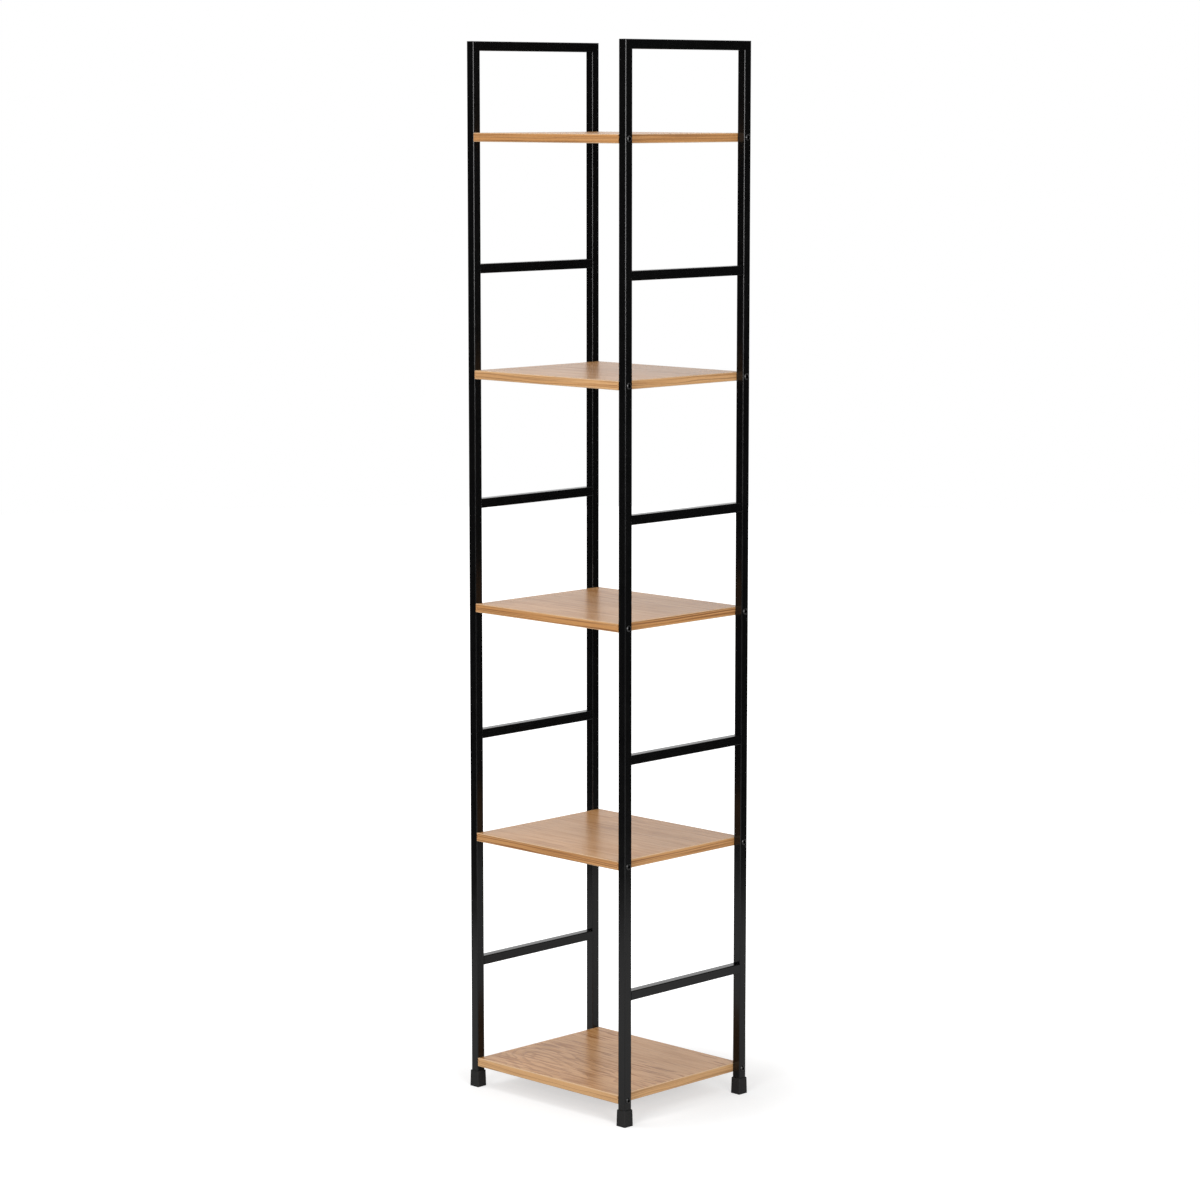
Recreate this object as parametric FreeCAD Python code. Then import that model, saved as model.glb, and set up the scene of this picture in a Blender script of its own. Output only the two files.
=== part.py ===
import FreeCAD, Part
import math
import os

# A tall open bookcase: two welded ladder frames of steel tube, with boards bolted between them.
# Millimetres. X runs across the width, Y from front to back and Z up from the floor.
# The origin lies on the floor, under the middle of the bookcase.

# Boards, counted from the floor up
shelf_count = 5
shelf_length = 340.0
shelf_depth = 300.0
shelf_thickness = 15.0
shelf_pitch = 399.0
edge_band = 2.0
band_arris = 1.5

# Square tube of the posts, top bars and rungs
tube_width = 16.0
tube_wall = 1.0
tube_corner = 1.5
frame_above_top_shelf = 152.0
rung_above_shelf = 163.0

# Push-on feet, flared towards the floor
foot_height = 28.0
foot_floor = 3.0
foot_wall = 1.5
foot_flare = 0.6
foot_corner = 1.2
foot_shoulder_rise = 0.8
foot_shoulder_inset = 0.4
foot_to_shelf = 9.0

# Low button-head bolts and the threaded inserts in the boards' ends
bolt_diameter = 6.0
bolt_tip_chamfer = 0.8
bolt_tip_gap = 1.0
head_diameter = 10.5
head_height = 1.8
head_rim = 0.5
head_bulge = 0.25
head_crown_diameter = 6.5
socket_width = 4.0
socket_depth = 1.3
insert_wall = 1.5
insert_length = 15.0
bore_end_gap = 3.0

# Clearances, each on the radius or on one side
foot_play = 0.1
bolt_hole_play = 0.25
thread_play = 0.05
insert_play = 0.05

# How far a cutting shape runs past the faces that it cuts
overrun = 5.0

# A tube's inner corner is never sharper than this
least_corner = 0.2

# Points nearer than this to a face lie on it
touching = 1e-6

# Sizes and places that follow from the ones above
lowest_shelf_bottom = foot_height + foot_to_shelf
shelf_bottoms = [lowest_shelf_bottom + i * shelf_pitch for i in range(shelf_count)]
shelf_tops = [bottom + shelf_thickness for bottom in shelf_bottoms]
bolt_heights = [bottom + shelf_thickness / 2 for bottom in shelf_bottoms]
overall_height = shelf_tops[-1] + frame_above_top_shelf
post_x = (shelf_length + tube_width) / 2
post_y = (shelf_depth - tube_width) / 2
outer_face_x = post_x + tube_width / 2
rung_length = shelf_depth - 2 * tube_width
bolt_length = tube_width + insert_length - bolt_tip_gap
bore_depth = insert_length + bore_end_gap
insert_radius = bolt_diameter / 2 + insert_wall
bore_radius = insert_radius + insert_play

SIDES = {"left": -1, "right": 1}
ENDS = {"front": -1, "rear": 1}
ORIGIN = FreeCAD.Vector(0, 0, 0)
ALONG_X = FreeCAD.Vector(1, 0, 0)
ALONG_Y = FreeCAD.Vector(0, 1, 0)
ALONG_Z = FreeCAD.Vector(0, 0, 1)


# Outlines and plain shapes

def rounded_square(width, corner, height):
    """Outline of a square with round corners, around the Z axis at the given height."""
    reach = width / 2 - corner
    centres = [(reach, reach), (-reach, reach), (-reach, -reach), (reach, -reach)]
    arcs = []
    for turn, (x, y) in enumerate(centres):
        circle = Part.Circle(FreeCAD.Vector(x, y, height), ALONG_Z, corner)
        start = turn * math.pi / 2
        arcs.append(Part.ArcOfCircle(circle, start, start + math.pi / 2).toShape())
    edges = []
    for arc, following in zip(arcs, arcs[1:] + arcs[:1]):
        edges.append(arc)
        side_start = arc.valueAt(arc.LastParameter)
        side_end = following.valueAt(following.FirstParameter)
        edges.append(Part.makeLine(side_start, side_end))
    return Part.Wire(edges)


def upright_tube(length):
    """Hollow tube standing on the floor plane, around the Z axis."""
    inner_corner = max(tube_corner - tube_wall, least_corner)
    outside = rounded_square(tube_width, tube_corner, 0)
    inside = rounded_square(tube_width - 2 * tube_wall, inner_corner, 0)
    outer_bar = Part.Face(outside).extrude(ALONG_Z * length)
    hollow = Part.Face(inside).extrude(ALONG_Z * length)
    return outer_bar.cut(hollow)


def lying_tube(length):
    """The same tube lying along Y, centred on the origin."""
    tube = upright_tube(length)
    tube.translate(ALONG_Z * (-length / 2))
    tube.rotate(ORIGIN, ALONG_X, -90)
    return tube


def centred_box(length, depth, height, bottom):
    corner = FreeCAD.Vector(-length / 2, -depth / 2, bottom)
    return Part.makeBox(length, depth, height, corner)


def prism_across(points):
    """A solid with the given outline in Y and Z, wider than a tube, centred in X."""
    reach = tube_width / 2 + overrun
    corners = [FreeCAD.Vector(-reach, y, z) for y, z in points]
    face = Part.Face(Part.makePolygon(corners + corners[:1]))
    return face.extrude(ALONG_X * (2 * reach))


# Steel frames

def mitre_waste(end, keep_bar):
    """What the saw takes off a tube at a top corner, above the cut for a post and below it for a bar."""
    outer_y = end * (shelf_depth / 2 + overrun)
    inner_y = end * (shelf_depth / 2 - tube_width - overrun)
    high = overall_height + overrun
    low = overall_height - tube_width - overrun
    waste_corner = (outer_y, low) if keep_bar else (inner_y, high)
    return prism_across([(outer_y, high), (inner_y, low), waste_corner])


def make_post(end):
    """A post in the plane x = 0, with its mitre and its bolt holes."""
    post = upright_tube(overall_height - foot_floor)
    post.translate(FreeCAD.Vector(0, end * post_y, foot_floor))
    post = post.cut(mitre_waste(end, keep_bar=False))
    hole_radius = bolt_diameter / 2 + bolt_hole_play
    for height in bolt_heights:
        start = FreeCAD.Vector(-tube_width / 2 - overrun, end * post_y, height)
        post = post.cut(Part.makeCylinder(hole_radius, tube_width + 2 * overrun, start, ALONG_X))
    return post


def make_top_bar():
    """The bar that closes a frame at the top, in the plane x = 0."""
    bar = lying_tube(shelf_depth)
    bar.translate(ALONG_Z * (overall_height - tube_width / 2))
    for end in ENDS.values():
        bar = bar.cut(mitre_waste(end, keep_bar=True))
    return bar


def make_rung(shelf_top):
    """A rung above one shelf, in the plane x = 0."""
    rung = lying_tube(rung_length)
    rung.translate(ALONG_Z * (shelf_top + rung_above_shelf + tube_width / 2))
    return rung


def make_foot():
    """A cap with its socket, around the Z axis, standing on the floor."""
    rim_width = tube_width + 2 * foot_wall
    floor_width = rim_width + 2 * foot_flare
    mouth_width = rim_width - 2 * foot_shoulder_inset
    socket_side = tube_width + 2 * foot_play
    sections = [
        rounded_square(floor_width, foot_corner, 0),
        rounded_square(rim_width, foot_corner, foot_height - foot_shoulder_rise),
        rounded_square(mouth_width, foot_corner, foot_height),
    ]
    cap = Part.makeLoft(sections, True, True)
    socket_outline = rounded_square(socket_side, tube_corner, foot_floor)
    return cap.cut(Part.Face(socket_outline).extrude(ALONG_Z * foot_height))


# Boards and what holds them

def at_board_ends(make_one):
    """One copy of a shape at each of a board's four fixings, given for the right side at y = 0."""
    copies = []
    for side in SIDES.values():
        for end in ENDS.values():
            copy = make_one()
            if side < 0:
                copy.rotate(ORIGIN, ALONG_Z, 180)
            copy.translate(ALONG_Y * (end * post_y))
            copies.append(copy)
    return copies


def insert_bore():
    start = FreeCAD.Vector(shelf_length / 2 + overrun, 0, 0)
    return Part.makeCylinder(bore_radius, bore_depth + overrun, start, -ALONG_X)


def insert_nut():
    start = FreeCAD.Vector(shelf_length / 2, 0, 0)
    sleeve = Part.makeCylinder(insert_radius, insert_length, start, -ALONG_X)
    return sleeve.cut(Part.makeCylinder(bolt_diameter / 2 + thread_play, insert_length, start, -ALONG_X))


def hexagon_socket():
    corner_radius = socket_width / math.sqrt(3)
    corners = []
    for step in range(6):
        angle = step * math.pi / 3
        y = corner_radius * math.cos(angle)
        z = corner_radius * math.sin(angle)
        corners.append(FreeCAD.Vector(head_height - socket_depth, y, z))
    face = Part.Face(Part.makePolygon(corners + corners[:1]))
    return face.extrude(ALONG_X * (socket_depth + overrun))


def button_head_bolt():
    """A bolt along X with its head outwards, bearing on the right frame's outer face."""
    radius = bolt_diameter / 2
    rim = FreeCAD.Vector(head_rim, head_diameter / 2, 0)
    crown = FreeCAD.Vector(head_height, head_crown_diameter / 2, 0)
    chord = crown - rim
    outward = FreeCAD.Vector(-chord.y, chord.x, 0)
    dome_middle = (rim + crown) * 0.5 + outward * (head_bulge / chord.Length)
    below_dome = [
        FreeCAD.Vector(head_height, 0, 0),
        FreeCAD.Vector(-bolt_length, 0, 0),
        FreeCAD.Vector(-bolt_length, radius - bolt_tip_chamfer, 0),
        FreeCAD.Vector(bolt_tip_chamfer - bolt_length, radius, 0),
        FreeCAD.Vector(0, radius, 0),
        FreeCAD.Vector(0, head_diameter / 2, 0),
        rim,
    ]
    edges = [Part.makeLine(a, b) for a, b in zip(below_dome, below_dome[1:])]
    edges.append(Part.Arc(rim, dome_middle, crown).toShape())
    edges.append(Part.makeLine(crown, below_dome[0]))
    bolt = Part.Face(Part.Wire(edges)).revolve(ORIGIN, ALONG_X, 360)
    bolt = bolt.cut(hexagon_socket())
    bolt.translate(ALONG_X * outer_face_x)
    return bolt


def make_board():
    """A board's core, its underside at z = 0, bored for the inserts."""
    board = centred_box(shelf_length - 2 * edge_band, shelf_depth - 2 * edge_band, shelf_thickness, 0)
    for bore in at_board_ends(insert_bore):
        bore.translate(ALONG_Z * (shelf_thickness / 2))
        board = board.cut(bore)
    return board


def eased_band(length, depth, outward):
    """A band around the Z axis, its underside at z = 0, with its outer upper and lower arrises rounded."""
    band = centred_box(length, depth, shelf_thickness, 0)
    arrises = []
    for edge in band.Edges:
        first, last = [vertex.Point for vertex in edge.Vertexes]
        level = abs(first.z - last.z) < touching
        outside = min(first.dot(outward), last.dot(outward)) > edge_band / 2 - touching
        if level and outside:
            arrises.append(edge)
    return band.makeFillet(min(band_arris, edge_band - least_corner), arrises)


def make_edge_bands():
    """The bands round a board: two long ones at front and rear, two bored ones between them."""
    bands = []
    for end in ENDS.values():
        long_band = eased_band(shelf_length, edge_band, ALONG_Y * end)
        long_band.translate(ALONG_Y * (end * (shelf_depth - edge_band) / 2))
        bands.append(long_band)
    for side in SIDES.values():
        short_band = eased_band(edge_band, shelf_depth - 2 * edge_band, ALONG_X * side)
        short_band.translate(ALONG_X * (side * (shelf_length - edge_band) / 2))
        for bore in at_board_ends(insert_bore):
            bore.translate(ALONG_Z * (shelf_thickness / 2))
            short_band = short_band.cut(bore)
        bands.append(short_band)
    return Part.makeCompound(bands)


# The whole bookcase, one named piece or group of like pieces at a time

os.makedirs("parts", exist_ok=True)


def save(name, shape, x=0.0, y=0.0, z=0.0):
    placed = shape.copy()
    placed.translate(FreeCAD.Vector(x, y, z))
    placed.exportStep("parts/" + name + ".step")


for side_name, side in SIDES.items():
    frame_x = side * post_x
    for end_name, end in ENDS.items():
        save(f"{side_name}_{end_name}_post", make_post(end), x=frame_x)
        save(f"{side_name}_{end_name}_foot", make_foot(), x=frame_x, y=end * post_y)
    save(f"{side_name}_top_bar", make_top_bar(), x=frame_x)
    for number, shelf_top in enumerate(shelf_tops[:-1], start=1):
        save(f"{side_name}_rung_{number}", make_rung(shelf_top), x=frame_x)

for number, shelf_bottom in enumerate(shelf_bottoms, start=1):
    bolt_height = shelf_bottom + shelf_thickness / 2
    save(f"shelf_{number}_board", make_board(), z=shelf_bottom)
    save(f"shelf_{number}_edge_bands", make_edge_bands(), z=shelf_bottom)
    save(f"shelf_{number}_bolts", Part.makeCompound(at_board_ends(button_head_bolt)), z=bolt_height)
    save(f"shelf_{number}_insert_nuts", Part.makeCompound(at_board_ends(insert_nut)), z=bolt_height)
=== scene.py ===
from collections import namedtuple

import bmesh
import bpy
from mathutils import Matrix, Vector


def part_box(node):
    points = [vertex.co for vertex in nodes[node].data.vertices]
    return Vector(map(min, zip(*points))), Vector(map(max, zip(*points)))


# Looks of the bookcase: black coated steel frames, boards with a printed oak grain, and the studio
# round them. Metres, in the frame of the solids: X to the right, Y to the back and Z up from the floor.

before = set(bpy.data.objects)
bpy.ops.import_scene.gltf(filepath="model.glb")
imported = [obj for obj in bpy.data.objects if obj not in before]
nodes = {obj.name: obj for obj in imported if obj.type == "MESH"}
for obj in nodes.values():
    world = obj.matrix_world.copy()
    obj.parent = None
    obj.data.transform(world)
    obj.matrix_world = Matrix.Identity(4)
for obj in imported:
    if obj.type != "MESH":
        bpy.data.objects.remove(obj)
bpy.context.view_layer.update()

SIDES = ("left", "right")
ENDS = ("front", "rear")
SHELF_NUMBERS = range(1, 6)
RUNG_NUMBERS = range(1, 5)

# Colours are linear red, green and blue

COAT_DARK = (0.0020, 0.0020, 0.0021)
COAT_LIGHT = (0.0040, 0.0039, 0.0040)
FOOT_DARK = (0.0085, 0.0080, 0.0080)
FOOT_LIGHT = (0.0125, 0.0118, 0.0118)
BOLT_DARK = (0.045, 0.045, 0.046)
BOLT_LIGHT = (0.090, 0.088, 0.087)
# The colour of the painted shade inside the bolts' sockets
SOCKET_PAINTED_SHADE = (0.0015, 0.0015, 0.0016)
ZINC_DARK = (0.42, 0.42, 0.40)
ZINC_LIGHT = (0.60, 0.60, 0.57)

OAK_PALE = (0.590, 0.315, 0.130)
OAK_WARM = (0.490, 0.232, 0.070)
OAK_RING = (0.340, 0.130, 0.018)
OAK_PORE = (0.240, 0.090, 0.014)
EDGE_PALE = (0.640, 0.375, 0.172)
EDGE_WARM = (0.520, 0.252, 0.088)
EDGE_LINE = (0.240, 0.096, 0.032)
# The paler colour of a painted highlight along the bands' arrises
EDGE_ARRIS_HIGHLIGHT = (0.640, 0.430, 0.250)

FLOOR_COLOUR = (0.50, 0.50, 0.50)
FLAG_BLACK = (0.01, 0.01, 0.01)
WHITE = (1.0, 1.0, 1.0)


# Short calls for shading

class Shading:
    """The nodes of a material or of the surroundings."""

    def __init__(self, owner):
        owner.use_nodes = True
        self.tree = owner.node_tree
        self.tree.nodes.clear()

    def add(self, kind, **settings):
        node = self.tree.nodes.new(kind)
        for name, value in settings.items():
            setattr(node, name, value)
        return node

    def put(self, socket, value):
        """Links a node's output to a socket, or sets the socket to a fixed value."""
        if isinstance(value, bpy.types.NodeSocket):
            self.tree.links.new(value, socket)
        elif socket.type == "RGBA":
            socket.default_value = (*value, 1.0)
        else:
            socket.default_value = value

    def fill(self, node, *values):
        """Puts values into a node's sockets, from the first one on, and gives the node's first output."""
        for socket, value in zip(node.inputs, values):
            self.put(socket, value)
        return node.outputs[0]

    def show(self, shader, output_kind="ShaderNodeOutputMaterial"):
        """Makes a shader the one that is rendered."""
        output = self.add(output_kind)
        self.put(output.inputs["Surface"], shader)

    def place(self):
        """Where a point of the surface lies, in metres."""
        return self.add("ShaderNodeTexCoord").outputs["Object"]

    def split(self, vector):
        node = self.add("ShaderNodeSeparateXYZ")
        self.put(node.inputs[0], vector)
        return node.outputs

    def join(self, x, y, z=0.0):
        return self.fill(self.add("ShaderNodeCombineXYZ"), x, y, z)

    def length(self, vector):
        node = self.add("ShaderNodeVectorMath", operation="LENGTH")
        self.put(node.inputs[0], vector)
        return node.outputs["Value"]

    def shift(self, vector, offset=(0.0, 0.0, 0.0), stretch=(1.0, 1.0, 1.0)):
        """The vector stretched along each axis and then moved."""
        node = self.add("ShaderNodeMapping")
        self.put(node.inputs["Vector"], vector)
        self.put(node.inputs["Location"], offset)
        self.put(node.inputs["Scale"], stretch)
        return node.outputs[0]

    def math(self, operation, first, second=0.0, third=0.0):
        return self.fill(self.add("ShaderNodeMath", operation=operation), first, second, third)

    def noise(self, vector, scale=1.0, detail=2.0, roughness=0.5):
        node = self.add("ShaderNodeTexNoise")
        self.put(node.inputs["Vector"], vector)
        self.put(node.inputs["Scale"], scale)
        self.put(node.inputs["Detail"], detail)
        self.put(node.inputs["Roughness"], roughness)
        return node.outputs["Fac"]

    def grain(self, vector, per_metre, start=(0.0, 0.0), detail=2.0, roughness=0.5):
        """Noise with so many features to the metre along and across, and where in the noise it starts."""
        stretched = self.shift(vector, (*start, 0.0), (*per_metre, 1.0))
        return self.noise(stretched, detail=detail, roughness=roughness)

    def remap(self, value, source, target=(0.0, 1.0), smooth=False):
        """The value moved from one range to another, and held at the ends."""
        node = self.add("ShaderNodeMapRange")
        if smooth:
            node.interpolation_type = "SMOOTHSTEP"
        return self.fill(node, value, *source, *target)

    def blend(self, amount, first, second):
        """A colour between two others."""
        node = self.add("ShaderNodeMix", data_type="RGBA")
        sockets = {socket.identifier: socket for socket in node.inputs}
        self.put(sockets["Factor_Float"], amount)
        self.put(sockets["A_Color"], first)
        self.put(sockets["B_Color"], second)
        return next(socket for socket in node.outputs if socket.identifier == "Result_Color")

    def bump(self, height, distance):
        """A normal for relief of that depth in metres."""
        node = self.add("ShaderNodeBump")
        self.put(node.inputs["Distance"], distance)
        self.put(node.inputs["Height"], height)
        return node.outputs["Normal"]

    def share_seen(self, in_gloss):
        """1 for rays from the camera or through something clear, a share for polished surfaces, or 0."""
        path = self.add("ShaderNodeLightPath")
        share = self.math("MULTIPLY", path.outputs["Is Glossy Ray"], in_gloss)
        for name in ("Is Camera Ray", "Is Transmission Ray"):
            share = self.math("MAXIMUM", share, path.outputs[name])
        return share


class Finish(Shading):
    """A material with one principled shader."""

    def __init__(self, name):
        self.material = bpy.data.materials.new(name)
        super().__init__(self.material)
        self.shader = self.add("ShaderNodeBsdfPrincipled")
        self.show(self.shader.outputs["BSDF"])

    def surface(self, **inputs):
        """Sets the shader's own sockets, named with _ for a space."""
        for name, value in inputs.items():
            self.put(self.shader.inputs[name.replace("_", " ")], value)


# The ranges of a noise that most finishes read: nearly all of it, or less of it for more contrast
WIDE = (0.3, 0.7)
MIDDLE = (0.35, 0.65)


# Frames, feet, bolts and inserts: noises by their features to the metre, and relief in metres

COAT_DRIFT = dict(scale=45.0, detail=3.0)
COAT_PEEL = dict(scale=480.0, detail=1.0)
COAT_SPECK = dict(scale=2600.0, detail=0.0)
SPECK_RANGE = (0.60, 0.80)
SPECK_SHARE = 0.25
COAT_ROUGHNESS = (0.185, 0.225)
COAT_SPECULAR = 0.42
COAT_RELIEF = 0.000005


def frame_coat():
    """Satin black powder coat: fine orange peel, and slight drifts of tone and gloss."""
    finish = Finish("frame_coat")
    here = finish.place()
    drift = finish.noise(here, **COAT_DRIFT)
    peel = finish.noise(here, **COAT_PEEL)
    speck = finish.remap(finish.noise(here, **COAT_SPECK), SPECK_RANGE)
    tone = finish.math("ADD", drift, finish.math("MULTIPLY", speck, SPECK_SHARE))
    finish.surface(
        Base_Color=finish.blend(tone, COAT_DARK, COAT_LIGHT),
        Roughness=finish.remap(drift, WIDE, COAT_ROUGHNESS),
        Specular_IOR_Level=COAT_SPECULAR,
        Normal=finish.bump(peel, COAT_RELIEF),
    )
    return finish.material


FOOT_SPARK = dict(scale=1900.0)
FOOT_CLOUD = dict(scale=120.0)
FOOT_ROUGHNESS = (0.48, 0.62)
FOOT_SPECULAR = 0.35
FOOT_RELIEF = 0.00004


def foot_plastic():
    """Moulded black plastic with a fine even spark texture."""
    finish = Finish("foot_plastic")
    here = finish.place()
    spark = finish.noise(here, **FOOT_SPARK)
    cloud = finish.noise(here, **FOOT_CLOUD)
    finish.surface(
        Base_Color=finish.blend(cloud, FOOT_DARK, FOOT_LIGHT),
        Roughness=finish.remap(spark, WIDE, FOOT_ROUGHNESS),
        Specular_IOR_Level=FOOT_SPECULAR,
        Normal=finish.bump(spark, FOOT_RELIEF),
    )
    return finish.material


BOLT_RUB = dict(scale=900.0, detail=4.0)
RUB_RANGE = (0.4, 0.7)
BOLT_ROUGHNESS = (0.22, 0.34)
BOLT_RELIEF = 0.00002
# Distance from a bolt's axis that takes in its socket, which painted shade darkens
SOCKET_REACH = 0.00232


def bolt_black(number):
    """Black oxide on the bolts of one shelf, a little rubbed, and painted shade that darkens the sockets.
    """
    finish = Finish(f"bolt_black_{number}")
    low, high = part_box(f"shelf_{number}_bolts")
    post_low, post_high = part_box("right_rear_post")
    here = finish.place()
    _, y, z = finish.split(here)
    off_y = finish.math("SUBTRACT", finish.math("ABSOLUTE", y), (post_low.y + post_high.y) / 2)
    off_z = finish.math("SUBTRACT", z, (low.z + high.z) / 2)
    square = finish.math("MULTIPLY", off_z, off_z)
    off_axis = finish.math("SQRT", finish.math("MULTIPLY_ADD", off_y, off_y, square))
    # Painted shade: the colour inside each socket is darkened as shade in the recess
    painted_socket_shade = finish.math("LESS_THAN", off_axis, SOCKET_REACH)
    rub = finish.noise(here, **BOLT_RUB)
    head = finish.blend(finish.remap(rub, RUB_RANGE), BOLT_DARK, BOLT_LIGHT)
    finish.surface(
        Base_Color=finish.blend(painted_socket_shade, head, SOCKET_PAINTED_SHADE),
        Metallic=1.0,
        Roughness=finish.remap(rub, WIDE, BOLT_ROUGHNESS),
        Normal=finish.bump(rub, BOLT_RELIEF),
    )
    return finish.material


ZINC_TURNING = (2500.0, 60.0, 60.0)
ZINC_ROUGHNESS = (0.28, 0.42)
ZINC_RELIEF = 0.00002


def insert_zinc():
    """Plated steel of the threaded inserts, with turning marks round their axis."""
    finish = Finish("insert_zinc")
    here = finish.place()
    turning = finish.noise(finish.shift(here, stretch=ZINC_TURNING))
    finish.surface(
        Base_Color=finish.blend(turning, ZINC_DARK, ZINC_LIGHT),
        Metallic=1.0,
        Roughness=finish.remap(turning, WIDE, ZINC_ROUGHNESS),
        Normal=finish.bump(turning, ZINC_RELIEF),
    )
    return finish.material


# Faces of the boards

# The growth rings of each board's print are long loops round an eye: the eye's place along and across
# the board, how much the loops' axis leans, how soon they close to the left and to the right of the eye,
# how strongly the rings and the flecks show, and how much warmer the ground is, or paler if below 0
Grain = namedtuple("Grain", "eye lean left_close right_close rings flecks warmth")
GRAIN = {
    1: Grain((-0.095, -0.074), -0.26, 0.75, 0.17, 0.98, 1.55, -0.26),
    2: Grain((0.120, 0.210), 0.05, 0.10, 0.10, 0.30, 0.75, 0.00),
    3: Grain((-0.060, -0.240), -0.04, 0.12, 0.12, 0.30, 0.80, 0.00),
    4: Grain((0.100, 0.260), 0.06, 0.08, 0.08, 0.30, 0.50, 0.00),
    5: Grain((0.060, -0.050), 0.12, 0.20, 0.65, 0.90, 0.90, 0.00),
}
# Takes each board's print from its own part of the noises
GRAIN_STEP = 1.7

# Noises of the print, by their features to the metre along and across the board
STREAK = dict(per_metre=(8.0, 130.0), start=(0.0, 1.0), detail=4.0, roughness=0.6)
WAVER = dict(per_metre=(7.0, 14.0), detail=3.0)
SWELL = dict(per_metre=(11.0, 26.0), start=(0.0, 7.3))
CLEARNESS = dict(per_metre=(9.0, 22.0), start=(5.0, 2.0))
PATCH = dict(per_metre=(6.0, 8.0), start=(5.0, 3.0), detail=1.0)
FLECK = dict(per_metre=(13.0, 170.0), start=(4.0, 6.0), detail=3.0)
PORE = dict(per_metre=(95.0, 2300.0), start=(2.0, 0.0), detail=1.0)
DRIFT = dict(per_metre=(5.0, 45.0), start=(1.0, 4.0), detail=3.0)

# Rings, in metres: their spacing, the rounding of the innermost loops and of the turn at the eye, and
# how far the noises push them about. The pace's noise has its features to the metre across the rings
RING_SPACING = 0.0145
RING_BEND = 0.010
EYE_ROUNDING = 0.06
RING_WAVER = 0.050
RING_SWELL = 0.036
RING_PACE = 0.014
PACE_PER_METRE = 45.0
PACE_DETAIL = 1.0

# Lines: the parts of a ring over which a line fades out and builds up, its share where it is faintest,
# how far out the lines fade off and to what share, and how the streaks break them
EARLY_WOOD = (0.0, 0.50)
LATE_WOOD = (0.88, 1.0)
FAINTEST_LINE = 0.45
FADE_DISTANCE = (0.055, 0.105)
FADE_SHARE = (1.0, 0.05)
BREAK_RANGE = (0.38, 0.58)
BREAK_SHARE = (0.35, 1.1)

# Flecks and pores: where in their noises they show, and how strongly
PATCH_RANGE = (0.42, 0.58)
FLECKS_FAINT = 0.20
FLECKS_STRONG = 0.90
FLECK_RANGE = (0.52, 0.62)
PORE_RANGE = (0.54, 0.66)
PORE_LINES = (0.0, 0.6)
PORE_SHARE = (0.25, 0.9)

# How far the drift pales and warms the ground, and the streaks' height where the pores' depth is 1
DRIFT_TONE = (-0.5, 0.4)
STREAK_HEIGHT = 0.4
FACE_RELIEF = 0.00003
FACE_ROUGHNESS = (0.50, 0.60)
FACE_SPECULAR = 0.20
LACQUER = dict(Coat_Weight=0.76, Coat_Roughness=0.27, Coat_IOR=1.25)


def ring_spread(finish, here, sample, grain):
    """How far out a point lies on the loops round the eye, in metres."""
    along, across, _ = finish.split(here)
    eye_along, eye_across = grain.eye
    waver = finish.grain(sample, **WAVER)
    bent = finish.math("MULTIPLY_ADD", waver, RING_WAVER, across)
    off_eye = finish.math("SUBTRACT", along, eye_along)
    axis = finish.math("MULTIPLY_ADD", off_eye, grain.lean, eye_across + RING_WAVER / 2)
    off_axis = finish.math("SUBTRACT", bent, axis)
    rightward = finish.math("SMOOTH_MAX", off_eye, 0.0, EYE_ROUNDING)
    leftward = finish.math("SUBTRACT", rightward, off_eye)
    left_reach = finish.math("MULTIPLY", leftward, grain.left_close)
    reach = finish.math("MULTIPLY_ADD", rightward, grain.right_close, left_reach)
    square = finish.math("MULTIPLY_ADD", reach, reach, RING_BEND ** 2)
    return finish.math("SQRT", finish.math("MULTIPLY_ADD", off_axis, off_axis, square))


def ring_lines(finish, sample, spread, streak, number):
    """Dark lines between the rings, fainter in places, broken by streaks and fading off from the eye."""
    strength = GRAIN[number].rings
    swell = finish.grain(sample, **SWELL)
    ring = finish.math("MULTIPLY_ADD", swell, RING_SWELL, spread)
    pace_sample = finish.join(finish.math("MULTIPLY", ring, PACE_PER_METRE), number * GRAIN_STEP)
    pace = finish.noise(pace_sample, detail=PACE_DETAIL)
    ring = finish.math("MULTIPLY_ADD", pace, RING_PACE, ring)
    year = finish.math("FRACT", finish.math("DIVIDE", ring, RING_SPACING))
    early = finish.remap(year, EARLY_WOOD, (1.0, 0.0), smooth=True)
    late = finish.remap(year, LATE_WOOD, smooth=True)
    line = finish.math("MAXIMUM", early, late)
    clearness = finish.grain(sample, **CLEARNESS)
    shares = (
        finish.remap(clearness, MIDDLE, (FAINTEST_LINE * strength, strength)),
        finish.remap(spread, FADE_DISTANCE, FADE_SHARE, smooth=True),
        finish.remap(streak, BREAK_RANGE, BREAK_SHARE),
    )
    for share in shares:
        line = finish.math("MULTIPLY", line, share)
    return line


def fleck_marks(finish, sample, strength):
    """Dark flecks along the grain, stronger in some patches."""
    patch = finish.grain(sample, **PATCH)
    fleck = finish.grain(sample, **FLECK)
    shown = finish.remap(patch, PATCH_RANGE, (FLECKS_FAINT * strength, FLECKS_STRONG * strength))
    return finish.math("MULTIPLY", finish.remap(fleck, FLECK_RANGE), shown)


def pore_marks(finish, sample, line):
    """Short fine pores, darker in the lines between the rings."""
    pores = finish.remap(finish.grain(sample, **PORE), PORE_RANGE)
    return finish.math("MULTIPLY", pores, finish.remap(line, PORE_LINES, PORE_SHARE))


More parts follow.
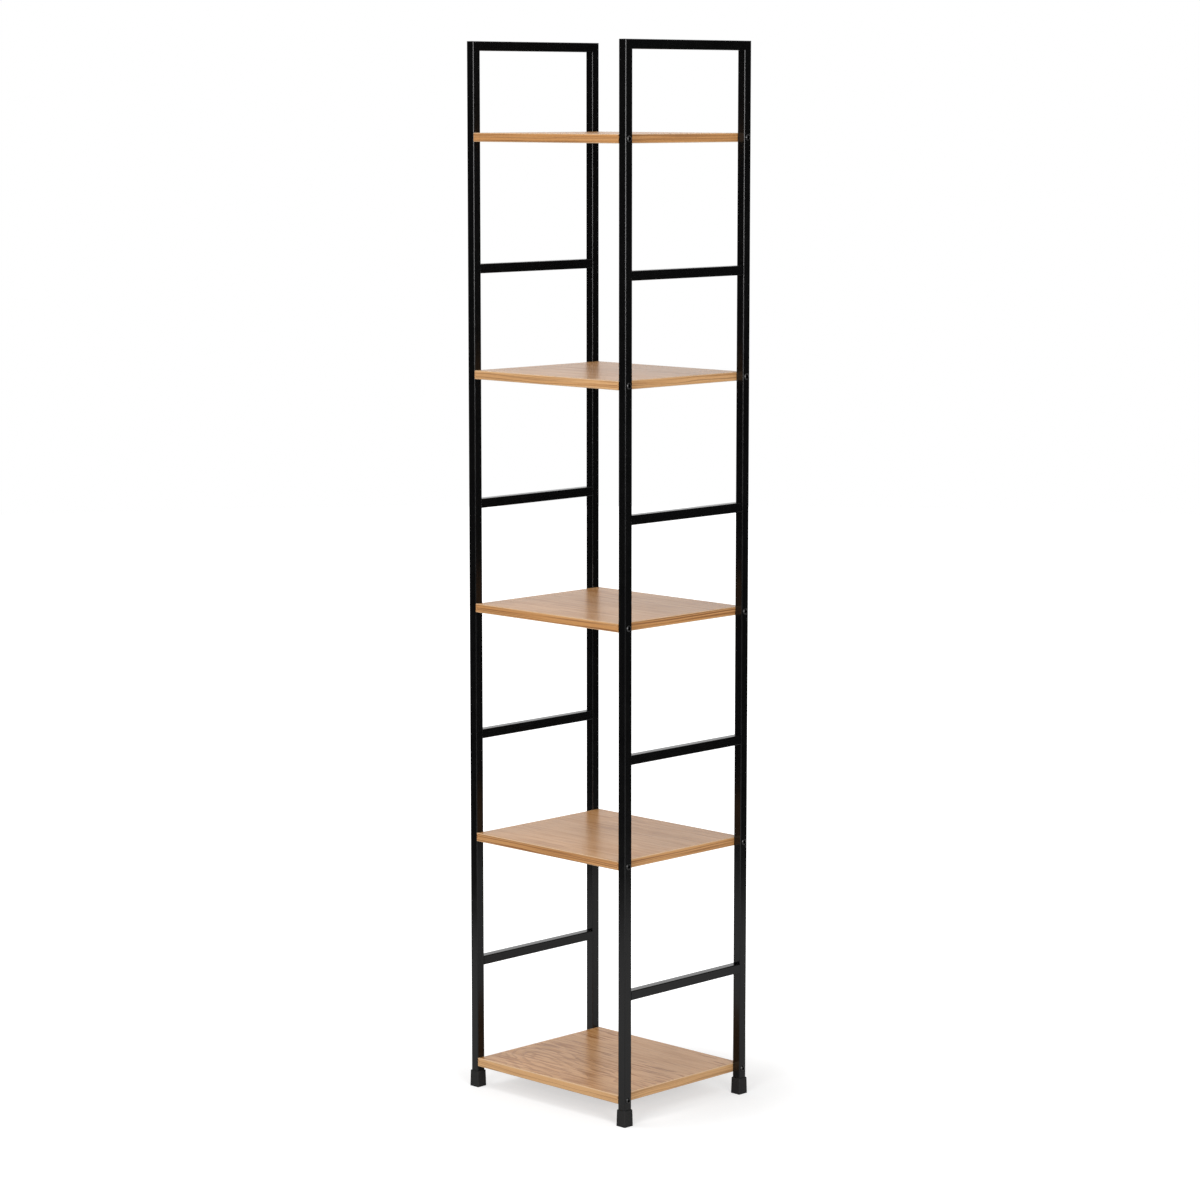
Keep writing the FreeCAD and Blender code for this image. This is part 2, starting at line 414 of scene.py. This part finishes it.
def oak_face(number):
    """Printed oak on a board's two faces under a thin lacquer: rings along X, flecks and pores."""
    finish = Finish(f"oak_face_{number}")
    grain = GRAIN[number]
    here = finish.place()
    sample = finish.shift(here, (number * GRAIN_STEP, number * GRAIN_STEP, 0.0))
    streak = finish.grain(sample, **STREAK)
    spread = ring_spread(finish, here, sample, grain)
    line = ring_lines(finish, sample, spread, streak, number)
    flecks = fleck_marks(finish, sample, grain.flecks)
    pores = pore_marks(finish, sample, line)

    drift = finish.remap(finish.grain(sample, **DRIFT), MIDDLE, DRIFT_TONE)
    ground = finish.math("ADD", finish.remap(streak, MIDDLE), drift)
    ground = finish.math("ADD", ground, grain.warmth)
    colour = finish.blend(ground, OAK_PALE, OAK_WARM)
    colour = finish.blend(line, colour, OAK_RING)
    colour = finish.blend(flecks, colour, OAK_RING)
    colour = finish.blend(pores, colour, OAK_PORE)
    relief = finish.math("SUBTRACT", finish.math("MULTIPLY", streak, STREAK_HEIGHT), pores)
    finish.surface(
        Base_Color=colour,
        Roughness=finish.remap(streak, WIDE, FACE_ROUGHNESS),
        Specular_IOR_Level=FACE_SPECULAR,
        Normal=finish.bump(relief, FACE_RELIEF),
        **LACQUER,
    )
    return finish.material


# Bands round the boards

# How warm the print on each board's bands is, how far its lines wander up and down, and how dark they are
Edge = namedtuple("Edge", "warmth wander darkness")
EDGES = {
    1: Edge(0.00, 0.010, 0.55),
    2: Edge(0.75, 0.004, 0.80),
    3: Edge(0.85, 0.003, 0.90),
    4: Edge(0.25, 0.010, 0.60),
    5: Edge(0.85, 0.004, 0.75),
}

# Noises of the print, by their features to the metre along the band and up it
EDGE_WAVER = dict(per_metre=(7.0, 40.0))
FINE = dict(per_metre=(30.0, 1500.0), start=(0.0, 3.0))
DASH = dict(per_metre=(110.0, 2200.0), start=(9.0, 0.0))
LAYERS_ALONG = 2.5
STRIPES_UP = 240.0
LINES_UP = 620.0
LINES_DETAIL = 1.0
# Takes the lines from another part of the noise than the stripes
LINES_START = 4.0

# How much the stripes and the fine grain change the tone, and where the lines and dashes show
STRIPE_RANGE = (0.40, 0.60)
STRIPE_DEPTH = 0.4
FINE_DEPTH = 0.4
LINE_RANGE = (0.48, 0.60)
DASH_RANGE = (0.57, 0.68)
DASH_SHARE = 0.30
# Heights from an arris at which a painted highlight starts and is strongest, and how much it pales the
# print there
HIGHLIGHT_FROM = 0.0018
HIGHLIGHT_FULL = 0.0007
HIGHLIGHT_SHARE = 0.85
EDGE_ROUGHNESS = (0.34, 0.44)
EDGE_SPECULAR = 0.4
EDGE_RELIEF = 0.00002


def oak_edge(number):
    """Printed oak on the bands round a board, its grain along each band, and a painted highlight that
    pales the arrises.
    """
    finish = Finish(f"oak_edge_{number}")
    low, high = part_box(f"shelf_{number}_board")
    edge = EDGES[number]
    x, y, z = finish.split(finish.place())
    on_end = finish.math("GREATER_THAN", finish.math("ABSOLUTE", x), high.x)
    elsewhere = finish.math("SUBTRACT", 1.0, on_end)
    along_end = finish.math("MULTIPLY", y, on_end)
    along = finish.math("ADD", along_end, finish.math("MULTIPLY", x, elsewhere))
    along = finish.math("MULTIPLY_ADD", on_end, GRAIN_STEP, along)
    height = finish.math("SUBTRACT", z, low.z)
    sample = finish.join(finish.math("ADD", along, number * GRAIN_STEP), height)

    waver = finish.grain(sample, **EDGE_WAVER)
    bent = finish.math("MULTIPLY_ADD", waver, edge.wander, height)
    layer = finish.math("MULTIPLY_ADD", along, LAYERS_ALONG, number * GRAIN_STEP)
    stripes = finish.noise(finish.join(layer, finish.math("MULTIPLY", bent, STRIPES_UP)))
    line_sample = finish.join(layer, finish.math("MULTIPLY", bent, LINES_UP), LINES_START)
    lines = finish.remap(
        finish.noise(line_sample, detail=LINES_DETAIL), LINE_RANGE, (0.0, edge.darkness), smooth=True)
    fine = finish.grain(sample, **FINE)
    dashes = finish.remap(finish.grain(sample, **DASH), DASH_RANGE)
    below_top = finish.math("SUBTRACT", high.z - low.z, height)
    from_arris = finish.math("MINIMUM", height, below_top)
    # Painted highlight: a paler colour blended into the print near the bands' top and bottom arrises
    painted_highlight = finish.remap(from_arris, (HIGHLIGHT_FROM, HIGHLIGHT_FULL), (0.0, HIGHLIGHT_SHARE), smooth=True)

    ground = finish.remap(stripes, STRIPE_RANGE, (edge.warmth - STRIPE_DEPTH, edge.warmth))
    ground = finish.math("MULTIPLY_ADD", fine, FINE_DEPTH, ground)
    colour = finish.blend(ground, EDGE_PALE, EDGE_WARM)
    colour = finish.blend(lines, colour, EDGE_LINE)
    colour = finish.blend(finish.math("MULTIPLY", dashes, DASH_SHARE), colour, EDGE_LINE)
    colour = finish.blend(painted_highlight, colour, EDGE_ARRIS_HIGHLIGHT)
    finish.surface(
        Base_Color=colour,
        Roughness=finish.remap(fine, WIDE, EDGE_ROUGHNESS),
        Specular_IOR_Level=EDGE_SPECULAR,
        Normal=finish.bump(fine, EDGE_RELIEF),
    )
    return finish.material


# Every solid gets its finish

def dress(node_name, material):
    slots = nodes[node_name].data.materials
    slots.clear()
    slots.append(material)


coat = frame_coat()
plastic = foot_plastic()
zinc = insert_zinc()

for side in SIDES:
    dress(f"{side}_top_bar", coat)
    for end in ENDS:
        dress(f"{side}_{end}_post", coat)
        dress(f"{side}_{end}_foot", plastic)
    for number in RUNG_NUMBERS:
        dress(f"{side}_rung_{number}", coat)

for number in SHELF_NUMBERS:
    dress(f"shelf_{number}_board", oak_face(number))
    dress(f"shelf_{number}_edge_bands", oak_edge(number))
    dress(f"shelf_{number}_bolts", bolt_black(number))
    dress(f"shelf_{number}_insert_nuts", zinc)


# Studio: floor, surroundings, dark cards, lamps and camera

FLOOR_RADIUS = 9.0
FLOOR_SIDES = 96
# The floor's glow where it is seen: its level in the middle, the distances between which it rises to
# white, and the share of it that polished surfaces show
FLOOR_GLOW = 0.56
FLOOR_WHITENING = (0.24, 0.60)
FLOOR_SHEEN = 0.09
# The light that falls on the object from all round
SURROUND_LEVEL = 0.55


def put_in_scene(name, data):
    thing = bpy.data.objects.new(name, data)
    bpy.context.scene.collection.objects.link(thing)
    return thing


def floor_finish():
    """A pale matt surface that keeps the shadow, lifted to white where the camera sees it."""
    material = bpy.data.materials.new("studio_floor")
    shading = Shading(material)
    matt = shading.fill(shading.add("ShaderNodeBsdfDiffuse"), FLOOR_COLOUR)
    distance = shading.length(shading.place())
    level = shading.remap(distance, FLOOR_WHITENING, (FLOOR_GLOW, 1.0), smooth=True)
    strength = shading.math("MULTIPLY", shading.share_seen(FLOOR_SHEEN), level)
    glow = shading.fill(shading.add("ShaderNodeEmission"), WHITE, strength)
    shading.show(shading.fill(shading.add("ShaderNodeAddShader"), matt, glow))
    return material


def make_floor():
    mesh = bpy.data.meshes.new("studio_floor")
    shape = bmesh.new()
    bmesh.ops.create_circle(shape, cap_ends=True, segments=FLOOR_SIDES, radius=FLOOR_RADIUS)
    shape.to_mesh(mesh)
    shape.free()
    mesh.materials.append(floor_finish())
    floor = put_in_scene("studio_floor", mesh)


def make_surroundings():
    """White all round where it is seen, and a softer even light from the same directions."""
    world = bpy.data.worlds.new("studio")
    bpy.context.scene.world = world
    shading = Shading(world)
    soft = shading.fill(shading.add("ShaderNodeBackground"), WHITE, SURROUND_LEVEL)
    white = shading.fill(shading.add("ShaderNodeBackground"), WHITE, 1.0)
    choice = shading.fill(shading.add("ShaderNodeMixShader"), shading.share_seen(1.0), soft, white)
    shading.show(choice, "ShaderNodeOutputWorld")


def aim(thing, place, target):
    """Puts a lamp or a camera in its place and turns it to a target."""
    thing.location = place
    thing.rotation_euler = (Vector(target) - Vector(place)).to_track_quat("-Z", "Y").to_euler()


def softbox(name, place, target, width, height, power):
    """A rectangular lamp."""
    lamp = bpy.data.lights.new(name, "AREA")
    lamp.shape = "RECTANGLE"
    lamp.size = width
    lamp.size_y = height
    lamp.energy = power
    aim(put_in_scene(name, lamp), place, target)


def black_flag(name, direction, distance, width, height):
    """A dark card standing beside the object, which only polished surfaces show."""
    heading = Vector((*direction, 0.0)).normalized()
    sideways = Vector((-heading.y, heading.x, 0.0))
    foot = heading * distance
    corners = []
    for across, up in ((-1, 0), (1, 0), (1, 1), (-1, 1)):
        corners.append(foot + sideways * (across * width / 2) + Vector((0.0, 0.0, up * height)))
    mesh = bpy.data.meshes.new(name)
    mesh.from_pydata(corners, [], [(0, 1, 2, 3)])
    finish = Finish(name)
    finish.surface(Base_Color=FLAG_BLACK, Specular_IOR_Level=0.0)
    mesh.materials.append(finish.material)
    flag = put_in_scene(name, mesh)
    flag.visible_camera = False
    flag.visible_diffuse = False
    flag.visible_shadow = False


make_floor()
make_surroundings()
black_flag("left_flag", direction=(-1.0, -1.0), distance=1.5, width=2.3, height=3.2)
black_flag("right_flag", direction=(1.0, 1.0), distance=1.75, width=2.3, height=3.2)
black_flag("front_flag", direction=(1.0, -1.0), distance=2.7, width=4.5, height=0.95)
softbox("key_softbox", place=(-1.34, -1.92, 6.42), target=(0.0, 0.0, 0.9),
        width=2.0, height=2.0, power=105.0)
softbox("front_softbox", place=(1.57, -3.89, 1.85), target=(0.0, 0.0, 1.0),
        width=1.5, height=1.4, power=68.0)
softbox("right_softbox", place=(3.84, -1.71, 1.75), target=(0.0, 0.0, 1.0),
        width=1.5, height=1.4, power=78.0)

# The optical axis passes the middle of the object at about half its height
CAMERA_PLACE = (4.248, -4.333, 1.706)
CAMERA_TARGET = (-0.010, -0.010, 0.858)
CAMERA_LENS = 107.8
CAMERA_SENSOR = 36.0

camera_data = bpy.data.cameras.new("camera")
camera_data.lens = CAMERA_LENS
camera_data.sensor_width = CAMERA_SENSOR
camera = put_in_scene("camera", camera_data)
aim(camera, CAMERA_PLACE, CAMERA_TARGET)
bpy.context.scene.camera = camera
bpy.context.scene.view_settings.view_transform = "Standard"
